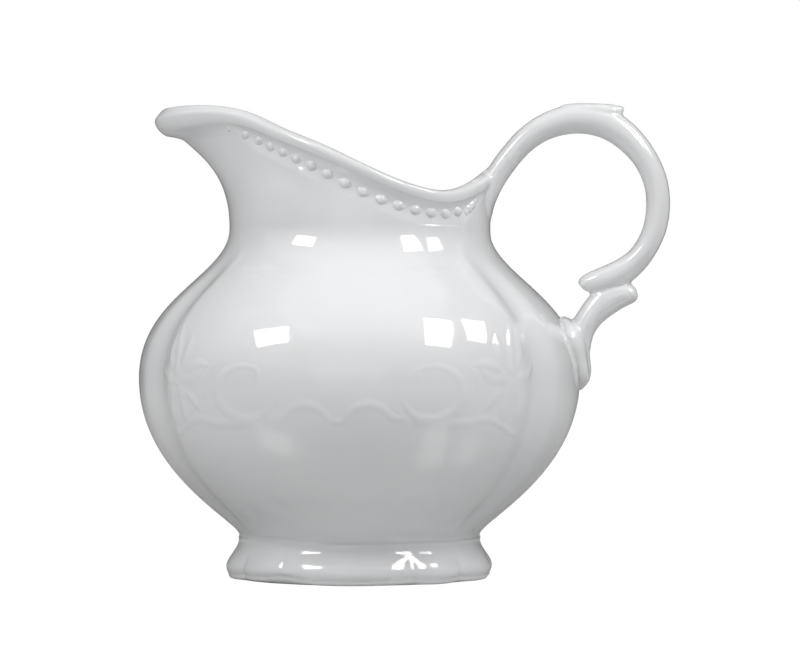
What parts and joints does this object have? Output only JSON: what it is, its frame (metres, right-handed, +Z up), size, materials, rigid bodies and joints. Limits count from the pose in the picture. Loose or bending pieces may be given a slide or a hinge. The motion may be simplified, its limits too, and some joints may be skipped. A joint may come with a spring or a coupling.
{
  "type": "porcelain cream jug",
  "caption": "Small footed porcelain cream jug: pear-shaped fluted body, raised pouring spout, beaded lip and a scrolled handle with a thumb spur.",
  "frame": {"origin": "centre of the foot's resting plane, on the body's upright axis", "axes": "+Z up, +X towards the handle, -X towards the spout, +Y completing the right-handed frame"},
  "size_m": [0.118, 0.098, 0.105],
  "materials": {
    "glaze": "clear gloss glaze on white porcelain",
    "foot_glaze": "clear gloss glaze, with an unglazed resting edge",
    "ornament_glaze": "clear gloss glaze that fills the low relief"
  },
  "bodies": {
    "root": {"jug_body": "glaze", "foot_ring": "foot_glaze", "handle_loop": "glaze", "handle_lower_scroll": "glaze", "handle_leaf": "glaze", "thumb_spur": "glaze", "bead_string_near": "ornament_glaze", "bead_string_far": "ornament_glaze", "panel_scrolls_near": "ornament_glaze", "panel_scrolls_far": "ornament_glaze", "sprig_spout_near": "ornament_glaze", "sprig_spout_far": "ornament_glaze", "sprig_handle_near": "ornament_glaze", "sprig_handle_far": "ornament_glaze"}
  },
  "joints": []
}
